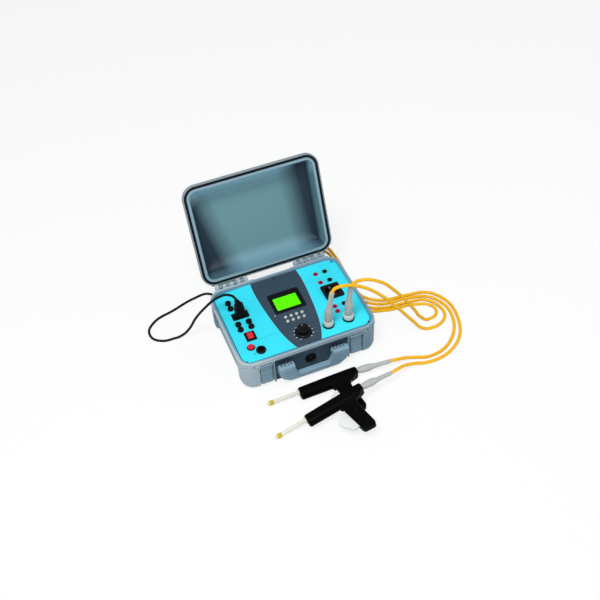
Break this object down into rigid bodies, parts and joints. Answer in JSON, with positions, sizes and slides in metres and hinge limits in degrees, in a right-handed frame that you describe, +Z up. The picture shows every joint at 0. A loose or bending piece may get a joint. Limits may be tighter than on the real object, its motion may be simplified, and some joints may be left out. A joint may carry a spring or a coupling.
{
  "type": "electrical installation tester",
  "caption": "Open rugged case with a test panel: display, keys, range knob, terminals, mains socket, and pistol-shaped probes on high voltage leads.",
  "frame": {"origin": "centre of the case's underside, on the surface the case stands on", "axes": "+X to the right seen from the front, +Y from the carry handle towards the lid's hinge, +Z up"},
  "size_m": [0.8683, 0.7544, 0.4133],
  "materials": {
    "shell_plastic": "moulded, fine grain",
    "seal_rubber": "matt",
    "steel": "satin",
    "black_plastic": "satin",
    "black_gloss": "gloss",
    "panel_sheet": "printed sheet",
    "display_glass": "lit display",
    "switch_body": "plain",
    "red_lens": "lit red lens",
    "red_plastic": "gloss",
    "pale_plastic": "satin",
    "boot_rubber": "matt",
    "board": "solder resist",
    "core_steel": "varnished core",
    "trigger_plastic": "translucent",
    "key_plastic": "satin",
    "yellow_cable": "smooth sheath",
    "black_cable": "smooth sheath"
  },
  "bodies": {
    "base": {"case_base": "shell_plastic", "lid_hinge_pins": "steel", "handle_pins": "steel", "pressure_valve": "black_plastic", "front_panel": "panel_sheet", "panel_screws": "steel", "lcd_bezel": "black_plastic", "lcd_module": "display_glass", "key_mat": "seal_rubber", "rotary_switch": "switch_body", "mains_inlet": "black_plastic", "mains_switch": "black_plastic", "fuse_holders": "black_plastic", "red_jacks": "red_plastic", "black_jacks": "black_gloss", "mains_socket": "black_plastic", "hv_sockets": "black_gloss", "hv_plugs": "pale_plastic", "hv_boots": "boot_rubber", "probe_boots": "boot_rubber", "start_switch": "switch_body", "lamp_connector": "black_plastic", "status_led": "pale_plastic", "main_board": "board", "hv_transformer": "core_steel", "power_transformer": "core_steel", "probe_1_body": "black_gloss", "probe_2_body": "black_gloss", "probe_rods": "pale_plastic", "mains_plug": "black_plastic", "mains_cord": "black_cable", "mains_cord_coil": "black_cable", "mains_lead_plug": "black_plastic", "hv_cord_1": "yellow_cable", "hv_cord_2": "yellow_cable"},
    "lid": {"case_lid": "shell_plastic", "lid_gasket": "seal_rubber"},
    "latch_left": {"latch_left": "shell_plastic"},
    "latch_right": {"latch_right": "shell_plastic"},
    "carry_handle": {"carry_handle": "shell_plastic"},
    "range_knob": {"range_knob": "black_plastic"},
    "mains_rocker": {"mains_rocker": "red_lens"},
    "start_button": {"start_button": "red_lens"},
    "trigger_1": {"probe_1_trigger": "trigger_plastic"},
    "trigger_2": {"probe_2_trigger": "trigger_plastic"},
    "key_1": {"key_1": "key_plastic"},
    "key_2": {"key_2": "key_plastic"},
    "key_3": {"key_3": "key_plastic"},
    "key_4": {"key_4": "key_plastic"},
    "key_5": {"key_5": "key_plastic"},
    "key_6": {"key_6": "key_plastic"},
    "key_7": {"key_7": "key_plastic"},
    "key_8": {"key_8": "key_plastic"},
    "fuse_cap_1": {"fuse_cap_1": "black_plastic"},
    "fuse_cap_2": {"fuse_cap_2": "black_plastic"},
    "fuse_cap_3": {"fuse_cap_3": "black_plastic"},
    "fuse_cap_4": {"fuse_cap_4": "black_plastic"},
    "fuse_cap_5": {"fuse_cap_5": "black_plastic"},
    "fuse_cap_6": {"fuse_cap_6": "black_plastic"}
  },
  "joints": [
    {"name": "lid_hinge", "type": "hinge", "parent": "base", "child": "lid", "pos_m": [0, 0.166, 0.11], "axis": [1, 0, 0], "range_deg": [0, 72]},
    {"name": "handle_swing", "type": "hinge", "parent": "base", "child": "carry_handle", "pos_m": [0, -0.156, 0.06], "axis": [-1, 0, 0], "range_deg": [0, 90]},
    {"name": "latch_left_swing", "type": "hinge", "parent": "base", "child": "latch_left", "pos_m": [-0.136, -0.1545, 0.087], "axis": [-1, 0, 0], "range_deg": [0, 174]},
    {"name": "latch_right_swing", "type": "hinge", "parent": "base", "child": "latch_right", "pos_m": [0.136, -0.1545, 0.087], "axis": [-1, 0, 0], "range_deg": [0, 174]},
    {"name": "key_1_press", "type": "slide", "parent": "base", "child": "key_1", "axis": [0, 0, -1], "range_m": [0, 0.001], "stiffness_N_per_m": 400, "springref_m": -0.0006},
    {"name": "key_2_press", "type": "slide", "parent": "base", "child": "key_2", "axis": [0, 0, -1], "range_m": [0, 0.001], "stiffness_N_per_m": 400, "springref_m": -0.0006},
    {"name": "key_3_press", "type": "slide", "parent": "base", "child": "key_3", "axis": [0, 0, -1], "range_m": [0, 0.001], "stiffness_N_per_m": 400, "springref_m": -0.0006},
    {"name": "key_4_press", "type": "slide", "parent": "base", "child": "key_4", "axis": [0, 0, -1], "range_m": [0, 0.001], "stiffness_N_per_m": 400, "springref_m": -0.0006},
    {"name": "key_5_press", "type": "slide", "parent": "base", "child": "key_5", "axis": [0, 0, -1], "range_m": [0, 0.001], "stiffness_N_per_m": 400, "springref_m": -0.0006},
    {"name": "key_6_press", "type": "slide", "parent": "base", "child": "key_6", "axis": [0, 0, -1], "range_m": [0, 0.001], "stiffness_N_per_m": 400, "springref_m": -0.0006},
    {"name": "key_7_press", "type": "slide", "parent": "base", "child": "key_7", "axis": [0, 0, -1], "range_m": [0, 0.001], "stiffness_N_per_m": 400, "springref_m": -0.0006},
    {"name": "key_8_press", "type": "slide", "parent": "base", "child": "key_8", "axis": [0, 0, -1], "range_m": [0, 0.001], "stiffness_N_per_m": 400, "springref_m": -0.0006},
    {"name": "range_turn", "type": "hinge", "parent": "base", "child": "range_knob", "pos_m": [0, -0.095, 0.102], "axis": [0, 0, 1], "range_deg": [-150, 150]},
    {"name": "rocker_tilt", "type": "hinge", "parent": "base", "child": "mains_rocker", "pos_m": [-0.1415, -0.047, 0.101], "axis": [-1, 0, 0], "range_deg": [0, 16]},
    {"name": "start_press", "type": "slide", "parent": "base", "child": "start_button", "axis": [0, 0, -1], "range_m": [0, 0.002], "stiffness_N_per_m": 600, "springref_m": -0.001},
    {"name": "fuse_cap_1_turn", "type": "hinge", "parent": "base", "child": "fuse_cap_1", "pos_m": [-0.159, 0.097, 0.102], "axis": [0, 0, 1], "range_deg": [0, 90]},
    {"name": "fuse_cap_2_turn", "type": "hinge", "parent": "base", "child": "fuse_cap_2", "pos_m": [-0.159, 0.074, 0.102], "axis": [0, 0, 1], "range_deg": [0, 90]},
    {"name": "fuse_cap_3_turn", "type": "hinge", "parent": "base", "child": "fuse_cap_3", "pos_m": [-0.159, 0.006, 0.102], "axis": [0, 0, 1], "range_deg": [0, 90]},
    {"name": "fuse_cap_4_turn", "type": "hinge", "parent": "base", "child": "fuse_cap_4", "pos_m": [-0.159, -0.015, 0.102], "axis": [0, 0, 1], "range_deg": [0, 90]},
    {"name": "fuse_cap_5_turn", "type": "hinge", "parent": "base", "child": "fuse_cap_5", "pos_m": [-0.127, 0.006, 0.102], "axis": [0, 0, 1], "range_deg": [0, 90]},
    {"name": "fuse_cap_6_turn", "type": "hinge", "parent": "base", "child": "fuse_cap_6", "pos_m": [-0.127, -0.015, 0.102], "axis": [0, 0, 1], "range_deg": [0, 90]},
    {"name": "trigger_1_pull", "type": "hinge", "parent": "base", "child": "trigger_1", "pos_m": [0.04147, -0.31916, 0.015], "axis": [0, 0, -1], "range_deg": [0, 8], "stiffness_Nm_per_rad": 0.5, "springref_deg": -3.44},
    {"name": "trigger_2_pull", "type": "hinge", "parent": "base", "child": "trigger_2", "pos_m": [0.0284, -0.40808, 0.04318], "axis": [0.1669, -0.022, -0.9857], "range_deg": [0, 8], "stiffness_Nm_per_rad": 0.5, "springref_deg": -3.44}
  ]
}
